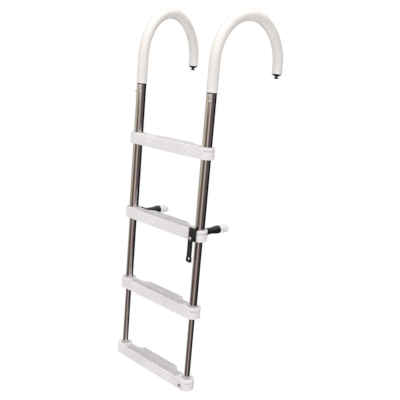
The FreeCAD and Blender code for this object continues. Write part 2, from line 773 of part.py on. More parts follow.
def standoff(side, sign):
    """Bracket with two ears behind step 2, and an arm with a rubber bumper hinged in it.

    The arm folds down. Its square heel meets the bracket when the arm points at the hull.
    """
    pivot = dict(x="%d * (%s - arm_inset)" % (sign, RAIL_X), y=PIVOT_Y, z="%s + %s" % (STEP_BASE[2], MIDDLE))
    wall = "-pivot_reach + bracket_skin"
    front = "notch_depth - boss_radius - pivot_reach + seat_gap"

    bracket = start(side + "_standoff_bracket", **pivot)
    base = rectangle(draw(bracket, "YZ"), front, "-bracket_height / 2", wall, "bracket_height / 2")
    pad(bracket, base, "bracket_width", both=True)
    ears = rectangle(draw(bracket, "YZ"), "%s - 1" % wall, "-ear_radius", "0", "ear_radius")
    pad(bracket, ears, "bracket_width", both=True)
    pad(bracket, circle(draw(bracket, "YZ"), "0", "0", "ear_radius"), "bracket_width", both=True)
    gap = rectangle(draw(bracket, "YZ"), wall, "-bracket_height", "ear_radius + 1", "bracket_height")
    pocket(bracket, gap, "tongue_width + 2 * tongue_gap", both=True)
    pin_hole = circle(draw(bracket, "YZ"), "0", "0", "arm_pin + seat_gap")
    pocket(bracket, pin_hole, "bracket_width + 1", both=True)
    saddle = circle(draw(bracket, "XY"), "%d * arm_inset" % sign, "-%s" % PIVOT_Y, "boss_radius + seat_gap")
    pocket(bracket, saddle, "bracket_height + 1", both=True)
    for up in (-1, 1):
        for radius, depth in (("screw_radius", "boss_radius"), ("bracket_screw_head", "bracket_screw_sink")):
            hole = circle(
                draw(bracket, "XZ", away="-(%s)" % wall), "0", "%d * bracket_screw_rise" % up,
                "%s + seat_gap" % radius,
            )
            pocket(bracket, hole, depth, back=True)
    node(bracket)

    arm = start(side + "_standoff_arm", **pivot)
    start_y = "tongue_radius + arm_shoulder"
    tongue = rectangle(draw(arm, "YZ"), "0", "-tongue_radius", "%s + arm_shoulder" % start_y, "tongue_radius")
    pad(arm, tongue, "tongue_width", both=True)
    pad(arm, circle(draw(arm, "YZ"), "0", "0", "tongue_radius"), "tongue_width", both=True)
    heel = rectangle(draw(arm, "YZ"), "%s + tongue_gap" % wall, "0", "0", "tongue_radius")
    pad(arm, heel, "tongue_width", both=True)
    half = polygon(draw(arm, "XY"), [
        ("0", start_y),
        ("tongue_radius", start_y),
        ("arm_radius", "%s + arm_shoulder" % start_y),
        ("arm_radius", "arm_flare_start"),
        ("arm_mouth", "arm_flare_end"),
        ("arm_mouth", "arm_length"),
        ("bumper_stem + seat_gap", "arm_length"),
        ("bumper_stem + seat_gap", "arm_length - bumper_stem_long"),
        ("0", "arm_length - bumper_stem_long"),
    ])
    spin(arm, half)
    eye = circle(draw(arm, "YZ"), "0", "0", "arm_pin + slide_gap")
    pocket(arm, eye, "tongue_width + 1", both=True)
    node(arm)

    bumper = start(side + "_standoff_bumper", **pivot)
    nose = "arm_length + bumper_length"
    half = polygon(draw(bumper, "XY"), [
        ("0", "arm_length - bumper_stem_long"),
        ("bumper_stem", "arm_length - bumper_stem_long"),
        ("bumper_stem", "arm_length"),
        ("arm_mouth", "arm_length"),
        ("bumper_radius", "arm_length + bumper_length / 3"),
        ("bumper_radius", nose),
        ("0", nose),
    ])
    spin(bumper, half)
    far = size(nose)
    round_edges(bumper, "bumper_round", lambda edge: all(
        abs(vertex.Point.y - far) < 0.01 and edge.Length > 1 for vertex in edge.Vertexes))
    node(bumper)

    end = "bracket_width / 2"
    node(turned(side + "_standoff_pin", [
        ("0", "-%s" % end),
        ("arm_pin - arm_pin_bevel", "-%s" % end),
        ("arm_pin", "-%s + arm_pin_bevel" % end),
        ("arm_pin", "%s - arm_pin_bevel" % end),
        ("arm_pin - arm_pin_bevel", end),
        ("0", end),
    ], axis=Vector(0, 1, 0), turn="90", **pivot))

    made = []
    for up, name in ((-1, "lower"), (1, "upper")):
        made.append(screw(
            "%s_%s_bracket_screw" % (side, name), "(bracket_skin - bracket_screw_sink + bracket_screw_bite)",
            "bracket_screw_head", "bracket_screw_sink",
            x=pivot["x"], y="boss_radius + bracket_skin - bracket_screw_sink",
            z="%s + %d * bracket_screw_rise" % (pivot["z"], up),
            axis=Vector(1, 0, 0), turn="-90",
        ))
    return made


# --- retaining strap ---------------------------------------------------------------

def strap_parts():
    """Bracket on step 2, strap that hangs from its rivet, and the keeper on step 4."""
    pivot_z = "%s + strap_pivot_height" % STEP_BASE[2]
    bracket = start("strap_bracket", x=STRAP_X, z=STEP_BASE[2])
    top = "step_height + strap_bracket_rise"
    plate = rectangle(
        draw(bracket, "XZ", away="boss_radius"), "-strap_bracket_width / 2", "stack_gap",
        "strap_bracket_width / 2", top,
    )
    pad(bracket, plate, "strap_bracket_thick")
    lip = rectangle(
        draw(bracket, "XZ", away="boss_radius"), "-strap_bracket_width / 2", "step_height + seat_gap",
        "strap_bracket_width / 2", "step_height + strap_lip",
    )
    pad(bracket, lip, STRAP_LIP, back=True)
    thick, tall = size("strap_bracket_thick"), size(top)

    def top_corner(edge):
        return abs(edge.Length - thick) < 0.01 and edge.Vertexes[0].Point.z > tall - 0.1

    round_edges(bracket, "strap_bracket_rise / 2", top_corner)
    boss = circle(draw(bracket, "XZ", away=PLATE_FRONT), "0", "strap_pivot_height", "pivot_boss_radius")
    pad(bracket, boss, "pivot_boss_tall")
    hole = circle(draw(bracket, "XZ", away=BOSS_FRONT), "0", "strap_pivot_height", "strap_pin + seat_gap")
    pocket(bracket, hole, "strap_bracket_thick + pivot_boss_tall + 1")
    node(bracket)

    strap = start("retaining_strap", x=STRAP_X, y="-%s - strap_side_gap" % BOSS_FRONT, z=pivot_z)
    pad(strap, circle(draw(strap, "XZ"), "0", "0", "strap_half"), "strap_thick")
    tab_end = "-%s - strap_tab" % STRAP_REACH
    outline = polygon(draw(strap, "XZ"), [
        ("-strap_half", "0"),
        ("-strap_half", "-%s + strap_tab / 2" % STRAP_REACH),
        ("-strap_tab", "-%s - strap_tab / 3" % STRAP_REACH),
        ("-strap_half", tab_end),
        ("strap_half", tab_end),
        ("strap_tab", "-%s - strap_tab / 3" % STRAP_REACH),
        ("strap_half", "-%s + strap_tab / 2" % STRAP_REACH),
        ("strap_half", "0"),
    ])
    pad(strap, outline, "strap_thick")
    thick, low = size("strap_thick"), size("-%s" % STRAP_REACH)

    def tab_corner(edge):
        return abs(edge.Length - thick) < 0.01 and edge.Vertexes[0].Point.z < low

    round_edges(strap, "strap_thick / 2", tab_corner)
    eye = circle(draw(strap, "XZ"), "0", "0", "strap_pin + slide_gap")
    pocket(strap, eye, "strap_thick + 1", back=True)
    buttonhole = circle(draw(strap, "XZ"), "0", "-%s" % STRAP_REACH, "strap_hole")
    pocket(strap, buttonhole, "strap_thick + 1", back=True)
    node(strap)

    facing_front = dict(x=STRAP_X, axis=Vector(1, 0, 0), turn="90")
    head_top = "(%s + screw_head_tall)" % STRAP_FRONT
    node(turned("strap_rivet", [
        ("0", "boss_radius - step_wall"),
        ("strap_pin", "boss_radius - step_wall"),
        ("strap_pin", STRAP_FRONT),
        ("strap_pin_head", STRAP_FRONT),
        ("strap_pin_head", "%s - screw_head_tall / 2" % head_top),
        ("strap_pin_head * head_crown", head_top),
        ("0", head_top),
    ], z=pivot_z, **facing_front))

    neck_top = "(boss_radius + keeper_neck_long)"
    keeper_top = "(%s + keeper_head_thick)" % neck_top
    node(turned("strap_keeper", [
        ("0", "boss_radius - step_wall"),
        ("strap_pin", "boss_radius - step_wall"),
        ("strap_pin", "boss_radius"),
        ("keeper_neck", "boss_radius"),
        ("keeper_neck", neck_top),
        ("keeper_head", neck_top),
        ("keeper_head", "%s - keeper_head_thick / 2" % keeper_top),
        ("keeper_head * head_crown", keeper_top),
        ("0", keeper_top),
    ], z="keeper_height", **facing_front))


# --- the whole ladder --------------------------------------------------------------

rails()
step(1, "upper_tube")
step(2, "upper_tube", front_hole=("strap_pivot_height", "strap_pin + seat_gap", "step_wall"))
step(3, "middle_tube")
step(4, "lower_tube", front_hole=("keeper_height", "strap_pin + seat_gap", "step_wall"))
step_screws()
hooks()
bracket_screws = []
for side, sign in SIDES:
    bracket_screws += standoff(side, sign)
group("standoff_screws", bracket_screws)
strap_parts()
doc.recompute()

for thing in doc.Objects:
    if "Invalid" in thing.State or "Error" in thing.State:
        raise RuntimeError("%s did not compute: %s" % (thing.Label, thing.State))
os.makedirs("parts", exist_ok=True)
for piece in NODES:
    shape = piece.Shape
    if shape.isNull() or not shape.isValid() or not shape.Solids:
        raise RuntimeError("%s has no valid solid" % piece.Label)
    shape.exportStep("parts/%s.step" % piece.Label)
print(len(NODES), "nodes written")
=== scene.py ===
"""Looks of the boat boarding ladder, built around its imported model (metres, +Z up)."""
import json
import math

import bmesh
import bpy
import numpy as np
from mathutils import Matrix, Vector


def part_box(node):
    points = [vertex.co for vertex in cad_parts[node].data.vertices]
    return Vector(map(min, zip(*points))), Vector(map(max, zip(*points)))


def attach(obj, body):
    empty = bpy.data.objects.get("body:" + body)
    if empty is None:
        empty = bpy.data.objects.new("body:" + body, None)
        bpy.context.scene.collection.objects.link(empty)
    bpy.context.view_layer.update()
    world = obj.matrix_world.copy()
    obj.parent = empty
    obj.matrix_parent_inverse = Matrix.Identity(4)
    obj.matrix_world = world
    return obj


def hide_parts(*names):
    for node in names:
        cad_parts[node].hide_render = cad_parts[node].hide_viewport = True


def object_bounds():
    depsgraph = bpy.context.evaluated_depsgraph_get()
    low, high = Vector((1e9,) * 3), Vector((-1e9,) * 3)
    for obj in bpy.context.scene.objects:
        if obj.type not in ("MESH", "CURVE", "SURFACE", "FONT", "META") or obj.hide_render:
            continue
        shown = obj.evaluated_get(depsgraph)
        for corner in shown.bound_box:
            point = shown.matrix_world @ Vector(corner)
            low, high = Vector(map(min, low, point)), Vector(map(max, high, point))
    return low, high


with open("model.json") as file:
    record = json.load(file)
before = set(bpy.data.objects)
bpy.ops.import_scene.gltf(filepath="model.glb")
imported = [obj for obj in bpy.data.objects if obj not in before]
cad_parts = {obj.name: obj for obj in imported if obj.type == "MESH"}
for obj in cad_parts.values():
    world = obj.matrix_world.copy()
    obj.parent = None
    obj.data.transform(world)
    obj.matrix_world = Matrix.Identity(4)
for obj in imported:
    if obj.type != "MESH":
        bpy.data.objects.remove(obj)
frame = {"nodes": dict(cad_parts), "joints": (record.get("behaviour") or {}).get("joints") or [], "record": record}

cad_low, cad_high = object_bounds()
MM = 0.001
JOINTS = {joint["name"]: joint for joint in frame["joints"]}
OPENINGS = {gap["name"]: gap["box_m"] for gap in frame["record"]["physics"]["openings"]}
BODY = {name: body for body, names in frame["record"]["behaviour"]["bodies"].items() for name in names}
SIDES = ("left", "right")


# --- materials ---------------------------------------------------------------------

def linear(red, green, blue):
    """A colour as it looks on a screen, 0 to 255, in the linear numbers that shaders use."""
    def channel(value):
        share = value / 255
        return share / 12.92 if share <= 0.04045 else ((share + 0.055) / 1.055) ** 2.4
    return channel(red), channel(green), channel(blue), 1.0


class Nodes:
    """A node tree of a material or of the world, with short ways to fill it."""

    def __init__(self, tree):
        self.tree = tree

    def add(self, kind, **settings):
        made = self.tree.nodes.new(kind)
        for key, value in settings.items():
            setattr(made, key, value)
        return made

    def join(self, output, into):
        self.tree.links.new(output, into)

    def spread(self, value, low, high, start=0.3, end=0.7):
        """The value from start to end, mapped onto low to high and held there outside them."""
        mapped = self.add("ShaderNodeMapRange")
        for socket, number in (("From Min", start), ("From Max", end), ("To Min", low), ("To Max", high)):
            mapped.inputs[socket].default_value = number
        self.join(value, mapped.inputs["Value"])
        return mapped.outputs["Result"]

    def mix(self, share, first, second):
        """Colours mixed by a share; each is a colour or another node's output."""
        mixed = self.add("ShaderNodeMix", data_type="RGBA")
        self.join(share, mixed.inputs["Factor"])
        for socket, colour in ((mixed.inputs[6], first), (mixed.inputs[7], second)):
            if isinstance(colour, tuple):
                socket.default_value = colour
            else:
                self.join(colour, socket)
        return mixed.outputs[2]


class Finish(Nodes):
    """A procedural material: a Principled shader with colour, roughness and bump from noise."""

    def __init__(self, name, **constants):
        self.material = bpy.data.materials.new(name)
        self.material.use_nodes = True
        super().__init__(self.material.node_tree)
        self.shader = self.tree.nodes["Principled BSDF"]
        self.place = self.add("ShaderNodeTexCoord").outputs["Object"]
        self.height = None
        for socket, value in constants.items():
            self.shader.inputs[socket.replace("_", " ")].default_value = value

    def noise(self, size, stretch=(1, 1, 1), detail=3.0, roughness=0.55):
        """Noise whose grains are about `size` metres, longer along the stretched axes."""
        scaled = self.add("ShaderNodeMapping")
        scaled.inputs["Scale"].default_value = [1 / (size * longer) for longer in stretch]
        self.join(self.place, scaled.inputs["Vector"])
        grains = self.add("ShaderNodeTexNoise")
        grains.inputs["Scale"].default_value = 1.0
        grains.inputs["Detail"].default_value = detail
        grains.inputs["Roughness"].default_value = roughness
        self.join(scaled.outputs["Vector"], grains.inputs["Vector"])
        return grains.outputs["Fac"]

    def colour(self, output):
        """Takes the base colour from a node's output."""
        self.join(output, self.shader.inputs["Base Color"])
        return self

    def rough(self, value, low, high):
        """Lets the roughness follow a value, between low and high."""
        self.join(self.spread(value, low, high), self.shader.inputs["Roughness"])
        return self

    def bump(self, value, deep):
        """Adds relief of a depth in metres on top of what is there."""
        made = self.add("ShaderNodeBump")
        made.inputs["Strength"].default_value = 1.0
        made.inputs["Distance"].default_value = deep
        self.join(value, made.inputs["Height"])
        if self.height is not None:
            self.join(self.height, made.inputs["Normal"])
        self.height = made.outputs["Normal"]
        self.join(self.height, self.shader.inputs["Normal"])
        return self

    def hollow_shade(self, reach):
        """Nearly 1 in the open and towards 0 deep in a groove or corner of the same piece."""
        shade = self.add("ShaderNodeAmbientOcclusion", samples=12, only_local=True)
        shade.inputs["Distance"].default_value = reach
        return shade.outputs["AO"]


def polished_tube():
    """Tube polished along its length: fine lines, faint waves, a little handling haze."""
    steel = Finish("polished_stainless", Metallic=1.0, IOR=2.5)
    lines = steel.noise(0.6 * MM, stretch=(1, 1, 90), detail=4)
    haze = steel.noise(26 * MM, stretch=(1, 1, 3), detail=4)
    waves = steel.noise(17 * MM, stretch=(1, 1, 6), detail=1)
    steel.colour(steel.mix(haze, linear(226, 220, 217), linear(205, 200, 199)))
    steel.rough(haze, 0.07, 0.17)
    return steel.bump(waves, 0.10 * MM).bump(lines, 0.004 * MM).material


def fastener_steel():
    """Plain stainless of screws and pins, turned and tumbled."""
    steel = Finish("plain_stainless", Metallic=1.0, IOR=2.5)
    grain = steel.noise(0.5 * MM, detail=4)
    steel.colour(steel.mix(grain, linear(232, 230, 228), linear(248, 247, 246)))
    steel.rough(grain, 0.36, 0.52)
    return steel.bump(grain, 0.01 * MM).material


def moulded_white():
    """Injection moulded step: spark-eroded grain, sink marks, and painted shade low in the grooves."""
    plastic = Finish("moulded_white", IOR=1.49, Specular_IOR_Level=0.45)
    grain = plastic.noise(0.45 * MM, detail=2)
    sink = plastic.noise(45 * MM, detail=1)
    patches = plastic.noise(70 * MM, detail=4)
    unshaded = plastic.mix(plastic.spread(patches, 0, 1), linear(241, 237, 239), linear(251, 249, 250))
    # painted shade: the colour goes to dark grey deep in the grooves and corners, and stays pale in the open
    shade = plastic.spread(plastic.hollow_shade(2.6 * MM), 0, 1, start=0.3, end=0.75)
    plastic.colour(plastic.mix(shade, linear(70, 67, 68), unshaded))
    plastic.rough(patches, 0.36, 0.5)
    return plastic.bump(sink, 0.22 * MM).bump(grain, 0.018 * MM).material


def vinyl_white():
    """Warm white vinyl dipped or slid over the hook, with a soft gloss."""
    vinyl = Finish("white_vinyl", IOR=1.52, Specular_IOR_Level=0.5, Coat_Weight=0.25, Coat_Roughness=0.2)
    waves = vinyl.noise(24 * MM, detail=2)
    pores = vinyl.noise(0.9 * MM, detail=3)
    tint = vinyl.noise(90 * MM, detail=3)
    vinyl.colour(vinyl.mix(vinyl.spread(tint, 0, 1), linear(245, 239, 234), linear(249, 246, 241)))
    vinyl.rough(waves, 0.28, 0.42)
    return vinyl.bump(waves, 0.25 * MM).bump(pores, 0.008 * MM).material


def satin_black():
    """Black nylon mouldings, satin with fine grain and paler scuffs."""
    nylon = Finish("black_nylon", IOR=1.53, Specular_IOR_Level=0.5)
    grain = nylon.noise(0.5 * MM, detail=3)
    scuffs = nylon.noise(9 * MM, stretch=(1, 2, 1), detail=6, roughness=0.7)
    worn = nylon.spread(scuffs, 0, 1, start=0.45, end=0.8)
    nylon.colour(nylon.mix(worn, linear(24, 24, 23), linear(56, 57, 54)))
    nylon.rough(scuffs, 0.34, 0.55)
    return nylon.bump(grain, 0.02 * MM).material


def rubber_black():
    """Moulded black rubber: dull, with dust in the low places."""
    rubber = Finish("black_rubber", IOR=1.5, Specular_IOR_Level=0.4)
    grain = rubber.noise(0.35 * MM, detail=3)
    dust = rubber.noise(14 * MM, detail=5, roughness=0.65)
    rubber.colour(rubber.mix(rubber.spread(dust, 0, 1), linear(27, 27, 27), linear(48, 48, 46)))
    rubber.rough(dust, 0.5, 0.72)
    return rubber.bump(grain, 0.025 * MM).material


def rubber_white():
    """Soft white non-marking rubber of the bumpers, with painted shade in its grooves."""
    rubber = Finish("white_rubber", IOR=1.5, Specular_IOR_Level=0.35)
    grain = rubber.noise(0.6 * MM, detail=3)
    dust = rubber.noise(12 * MM, detail=4)
    # painted shade: the colour goes to grey deep in the grooves and corners, and stays white in the open
    shade = rubber.spread(rubber.hollow_shade(3 * MM), 0, 1, start=0.3, end=0.9)
    unshaded = rubber.mix(rubber.spread(dust, 0, 1), linear(240, 238, 236), linear(250, 249, 248))
    rubber.colour(rubber.mix(shade, linear(150, 146, 144), unshaded))
    rubber.rough(dust, 0.5, 0.7)
    return rubber.bump(grain, 0.02 * MM).material


def nylon_natural():
    """Undyed nylon of bushes and glides, milky and slightly see-through."""
    nylon = Finish("natural_nylon", IOR=1.53, Subsurface_Weight=0.15, Subsurface_Scale=0.002)
    clouds = nylon.noise(6 * MM, detail=4)
    lines = nylon.noise(0.4 * MM, stretch=(30, 30, 1), detail=2)
    nylon.colour(nylon.mix(nylon.spread(clouds, 0, 1), linear(222, 217, 200), linear(236, 232, 219)))
    nylon.rough(clouds, 0.35, 0.5)
    return nylon.bump(lines, 0.01 * MM).material


FINISHES = {
    "stainless_tube": polished_tube(),
    "stainless_fastener": fastener_steel(),
    "white_plastic": moulded_white(),
    "white_vinyl": vinyl_white(),
    "white_rubber": rubber_white(),
    "black_plastic": satin_black(),
    "black_rubber": rubber_black(),
    "natural_nylon": nylon_natural(),
}


def repaint_frame():
    """Gives every CAD node the finish of its own slot, and returns the slots by node."""
    slots = {}
    for name, node in frame["nodes"].items():
        slots[name] = node.material_slots[0].material.name.split(".")[0]
        node.material_slots[0].material = FINISHES[slots[name]]
    return slots


SLOTS = repaint_frame()


# --- mesh helpers ------------------------------------------------------------------

AXIS_NEAR = 1e-7


def solid(bm):
    """The mesh of a closed shape, with its faces turned outwards. It uses the bmesh up."""
    bmesh.ops.recalc_face_normals(bm, faces=bm.faces)
    mesh = bpy.data.meshes.new("solid")
    bm.to_mesh(mesh)
    bm.free()
    return mesh


def added(name, data):
    """A new object with that data, linked into the scene."""
    made = bpy.data.objects.new(name, data)
    bpy.context.scene.collection.objects.link(made)
    return made


def keep(mesh, name, node, sharp=40):
    """Turns a mesh into a piece that stands for a CAD node, in its finish and on its body."""
    mesh.name = name
    mesh.shade_smooth()
    mesh.set_sharp_from_angle(angle=math.radians(sharp))
    mesh.materials.clear()
    mesh.materials.append(FINISHES[SLOTS[node]])
    piece = added(name, mesh)
    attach(piece, BODY[node])
    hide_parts(node)
    return piece


def rounded(points, radius, steps):
    """An open outline with its inner corners rounded, as far as their sides allow."""
    points = [Vector(point) for point in points]
    out = [points[0]]
    for before, corner, after in zip(points, points[1:], points[2:]):
        back, ahead = before - corner, after - corner
        cut = min(radius, 0.45 * back.length, 0.45 * ahead.length)
        start = corner + back.normalized() * cut
        end = corner + ahead.normalized() * cut
        for step in range(steps + 1):
            share = step / steps
            out.append(start * (1 - share) ** 2 + corner * 2 * share * (1 - share) + end * share ** 2)
    out.append(points[-1])
    return out


def turned(profile, segments, origin=(0, 0, 0), direction=(0, 0, 1)):
    """A lathe-turned solid, from the radius and height of each point, from axis to axis."""
    bm = bmesh.new()
    turn = Vector(direction).to_track_quat("Z", "X")
    rings = []
    for radius, height in profile:
        if radius < AXIS_NEAR:
            rings.append([bm.verts.new(Vector(origin) + turn @ Vector((0, 0, height)))])
            continue
        ring = []
        for step in range(segments):
            angle = 2 * math.pi * step / segments
            spot = Vector((radius * math.cos(angle), radius * math.sin(angle), height))
            ring.append(bm.verts.new(Vector(origin) + turn @ spot))
        rings.append(ring)
    bridge(bm, rings)
    return bm


def bridge(bm, rings, closed=False):
    """Faces between each ring of points and the next; a ring of one point is a tip."""
    pairs = list(zip(rings, rings[1:]))
    if closed:
        pairs.append((rings[-1], rings[0]))
    for low, high in pairs:
        count = max(len(low), len(high))
        for step in range(count):
            following = (step + 1) % count
            corners = [low[step % len(low)], low[following % len(low)],
                       high[following % len(high)], high[step % len(high)]]
            bm.faces.new(list(dict.fromkeys(corners)))


def middle(node):
    """The middle of a CAD node's box."""
    low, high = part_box(node)
    return (low + high) / 2


# --- hooks: vinyl sleeves ----------------------------------------------------------

LIP_LONG = 4.5 * MM
LIP_PROUD = 0.45 * MM
LIP_ROUND = 0.6 * MM
SLEEVE_SLACK = 0.05 * MM
SLEEVE_STATION = 7 * MM
SLEEVE_SEGMENTS = 40
BEND_FINER = 4
CREASE_PITCH = 9.5 * MM
CREASE_DEEP = 0.16 * MM
UP = Vector((0, 0, 1))


def sleeve(side):
    """Vinyl sleeve along the hook: a lip at each end and faint creases inside the bend."""
    node = side + "_hook_sleeve"
    foot = Vector(JOINTS[side + "_hook_swivel"]["pos_m"])
    stud = middle(side + "_hook_stud")
    across = Vector((stud.x - foot.x, stud.y - foot.y, 0))
    bend = across.length / 2
    across.normalize()
    beside = across.cross(UP)
    low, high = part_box("right_hook_sleeve")
    outside = (high.x - low.x) / 2
    skin = outside - LIP_PROUD
    tube_low, tube_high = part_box("right_hook_tube")
    inside = (tube_high.x - tube_low.x) / 2 + SLEEVE_SLACK
    spring = high.z - outside - bend
    beyond = [corner.co.z for corner in frame["nodes"][node].data.vertices
              if (corner.co - foot).dot(across) > bend]
    near_leg, far_leg = spring - low.z, spring - min(beyond)
    bend_end = near_leg + math.pi * bend
    whole = bend_end + far_leg
    above_foot = Vector((foot.x, foot.y, spring))

    def ring(along, radius, creased=False):
        """A ring of points round the tube, so far along it from the near leg's foot."""
        if along < near_leg:
            centre, up = foot + Vector((0, 0, low.z - foot.z + along)), UP
        elif along < bend_end:
            angle = math.pi - (along - near_leg) / bend
            centre = above_foot + across * bend * (1 + math.cos(angle))
            centre.z += bend * math.sin(angle)
            up = across * math.sin(angle) - UP * math.cos(angle)
        else:
            centre, up = foot + across * 2 * bend, -UP
            centre.z = spring - (along - bend_end)
        inner = up.cross(beside)
        if inner.dot(above_foot + across * bend - centre) < 0:
            inner.negate()
        made = []
        for step in range(SLEEVE_SEGMENTS):
            angle = 2 * math.pi * step / SLEEVE_SEGMENTS
            reach = radius
            if creased:
                towards = max(0.0, math.cos(angle)) ** 3
                reach -= CREASE_DEEP * towards * math.cos(2 * math.pi * along / CREASE_PITCH) ** 2
            made.append(bm.verts.new(centre + (inner * math.cos(angle) + beside * math.sin(angle)) * reach))
        return made

    bm = bmesh.new()
    skin_start = LIP_LONG + LIP_ROUND
    end = [(0, inside + LIP_ROUND), (0, outside - LIP_ROUND),
           (LIP_ROUND * 0.3, outside - LIP_ROUND * 0.3), (LIP_ROUND, outside),
           (LIP_LONG - LIP_ROUND, outside), (LIP_LONG, skin + LIP_PROUD / 3), (skin_start, skin)]
    rings = [ring(along, radius) for along, radius in end]
    count = int((whole - 2 * LIP_LONG) / SLEEVE_STATION)
    fine = BEND_FINER * count
    for step in range(1, fine):
        along = skin_start + (whole - 2 * skin_start) * step / fine
        bent = near_leg < along < bend_end
        if bent or step % BEND_FINER == 0:
            rings.append(ring(along, skin, creased=bent))
    rings += [ring(whole - along, radius) for along, radius in reversed(end)]
    rings += [ring(whole * step / count, inside) for step in range(count, -1, -1)]
    bridge(bm, rings, closed=True)
    keep(solid(bm), side + "_vinyl_sleeve", node)


# --- stand-off bumpers -------------------------------------------------------------

BUMPER_STEM = 8 * MM
BUMPER_TAPER = 0.7 * MM
BUMPER_WIDEST = 0.22
BUMPER_RINGS = (0.34, 0.52)
BUMPER_RING_DEEP = 0.7 * MM
BUMPER_RING_HALF = 0.9 * MM
BUMPER_NOSE = 0.5
BUMPER_FILLET = 0.5 * MM
ROUND_STEPS = 8


def bumper(side):
    """White rubber bumper: a slight barrel with two grooves and a rounded nose."""
    node = side + "_standoff_bumper"
    low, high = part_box(node)
    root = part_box(side + "_standoff_arm")[1].y
    long, wide = high.y - root, (high.x - low.x) / 2
    profile = [(0, low.y - root), (BUMPER_STEM, low.y - root), (BUMPER_STEM, 0),
               (wide - BUMPER_TAPER, 0), (wide, long * BUMPER_WIDEST)]
    for share in BUMPER_RINGS:
        for along, radius in ((-1, wide), (-0.4, wide - BUMPER_RING_DEEP),
                              (0.4, wide - BUMPER_RING_DEEP), (1, wide)):
            profile.append((radius, long * share + along * BUMPER_RING_HALF))
    nose = wide * BUMPER_NOSE
    for step in range(ROUND_STEPS + 1):
        angle = math.pi / 2 * step / ROUND_STEPS
        profile.append((wide - nose + nose * math.cos(angle), long - nose + nose * math.sin(angle)))
    profile.append((0, long))
    centre = middle(node)
    bm = turned(rounded(profile, BUMPER_FILLET, 2), 48, (centre.x, root, centre.z), (0, 1, 0))
    keep(solid(bm), side + "_white_bumper", node)


# --- screws, rivet and keeper ------------------------------------------------------

SHANK = 2.4 * MM
# the shank's blunt tip: its radius and length, as shares of the shank's radius
TIP_WIDE, TIP_LONG = 0.7, 0.4
HEAD_EDGE = 0.2 * MM
CROWN_START = 0.35
# half the length and width of the recess at its foot and its top, as shares of the head's radius
RECESS_FOOT, RECESS_TOP = (0.32, 0.07), (0.66, 0.16)
RECESS_DEEP = 0.55
FIRST_TURN, NEXT_TURN = 17, 31
BUTTON_EDGE = 0.3 * MM
SLOT_HALF = 0.9 * MM
SLOT_PAST = 1.2
SLOT_DEEP = 1.5 * MM
SLOT_TURN = math.radians(38)


def loose_parts(mesh):
    """Vertex places of each separate solid of a mesh, in a steady order."""
    parent = list(range(len(mesh.vertices)))

    def root(index):
        while parent[index] != index:
            parent[index] = parent[parent[index]]
            index = parent[index]
        return index

    seen = {}
    for index, corner in enumerate(mesh.vertices):
        key = tuple(round(value, 6) for value in corner.co)
        parent[root(index)] = root(seen.setdefault(key, index))
    for edge in mesh.edges:
        parent[root(edge.vertices[0])] = root(edge.vertices[1])
    groups = {}
    for index, corner in enumerate(mesh.vertices):
        groups.setdefault(root(index), []).append(corner.co[:])
    solids = [np.array(group) for group in groups.values()]
    return sorted(solids, key=lambda points: tuple(points.mean(0).round(5)))


def screw_place(points):
    """Where a screw stands under its head, its way out, head radius, shank length and head height."""
    centre = points.mean(0)
    way = np.linalg.svd(points - centre, full_matrices=False)[2][0]
    along = (points - centre) @ way
    off = np.linalg.norm(points - centre - np.outer(along, way), axis=1)
    if along[off.argmax()] < 0:
        way, along = -way, -along
    head = along[off > off.max() - HEAD_EDGE].min()
    return Vector(centre + way * head), Vector(way), off.max(), head - along.min(), along.max() - head


def bar_cutter(foot, top, deep, height, turn):
    """A bar across the axis, given by half its length and width at its foot and its top."""
    bm = bmesh.new()
    spin = Matrix.Rotation(turn, 3, "Z")
    rings = []
    for level, (long, half) in ((height - deep, foot), (height + deep, top)):
        corners = ((-long, -half), (long, -half), (long, half), (-long, half))
        rings.append([bm.verts.new(spin @ Vector((x, y, level))) for x, y in corners])
    bridge(bm, rings)
    for ring in rings:
        bm.faces.new(ring)
    return bm


def carved(body, cutters):
    """The body as a mesh, with every cutter taken out of it in turn."""
    things = [added("blank", solid(bm)) for bm in [body] + cutters]
    for cutter in things[1:]:
        cut = things[0].modifiers.new("cut", "BOOLEAN")
        cut.operation, cut.object, cut.solver = "DIFFERENCE", cutter, "EXACT"
    bpy.context.view_layer.update()
    depsgraph = bpy.context.evaluated_depsgraph_get()
    result = bpy.data.meshes.new_from_object(things[0].evaluated_get(depsgraph))
    for thing in things:
        bpy.data.objects.remove(thing)
    return result


def screw_mesh(radius, tall, length):
    """A pan head screw with a cross recess, standing on the origin with its shank below."""
    crown = [(radius * math.cos(angle), tall * (CROWN_START + (1 - CROWN_START) * math.sin(angle)))
             for angle in (math.radians(degrees) for degrees in range(0, 90, 12))]
    profile = [(0, -length), (SHANK * TIP_WIDE, -length), (SHANK, -length + SHANK * TIP_LONG), (SHANK, 0),
               (radius - HEAD_EDGE, 0), (radius, HEAD_EDGE)] + crown + [(0, tall)]
    body = turned(profile, 40)
    foot, top = ([radius * share for share in shares] for shares in (RECESS_FOOT, RECESS_TOP))
    deep = tall * RECESS_DEEP
    return carved(body, [bar_cutter(foot, top, deep, tall, turn) for turn in (0, math.pi / 2)])


def screws(node):
    """All the screws of one node, as one piece."""
    bm = bmesh.new()
    for number, points in enumerate(loose_parts(frame["nodes"][node].data)):
        place, way, radius, length, tall = screw_place(points)
        mesh = screw_mesh(radius, tall, length)
        spin = Matrix.Rotation(math.radians(FIRST_TURN + NEXT_TURN * number), 4, "Z")
        mesh.transform(Matrix.Translation(place) @ way.to_track_quat("Z", "X").to_matrix().to_4x4() @ spin)
        bm.from_mesh(mesh)
    keep(solid(bm), node + "_cross_head", node)


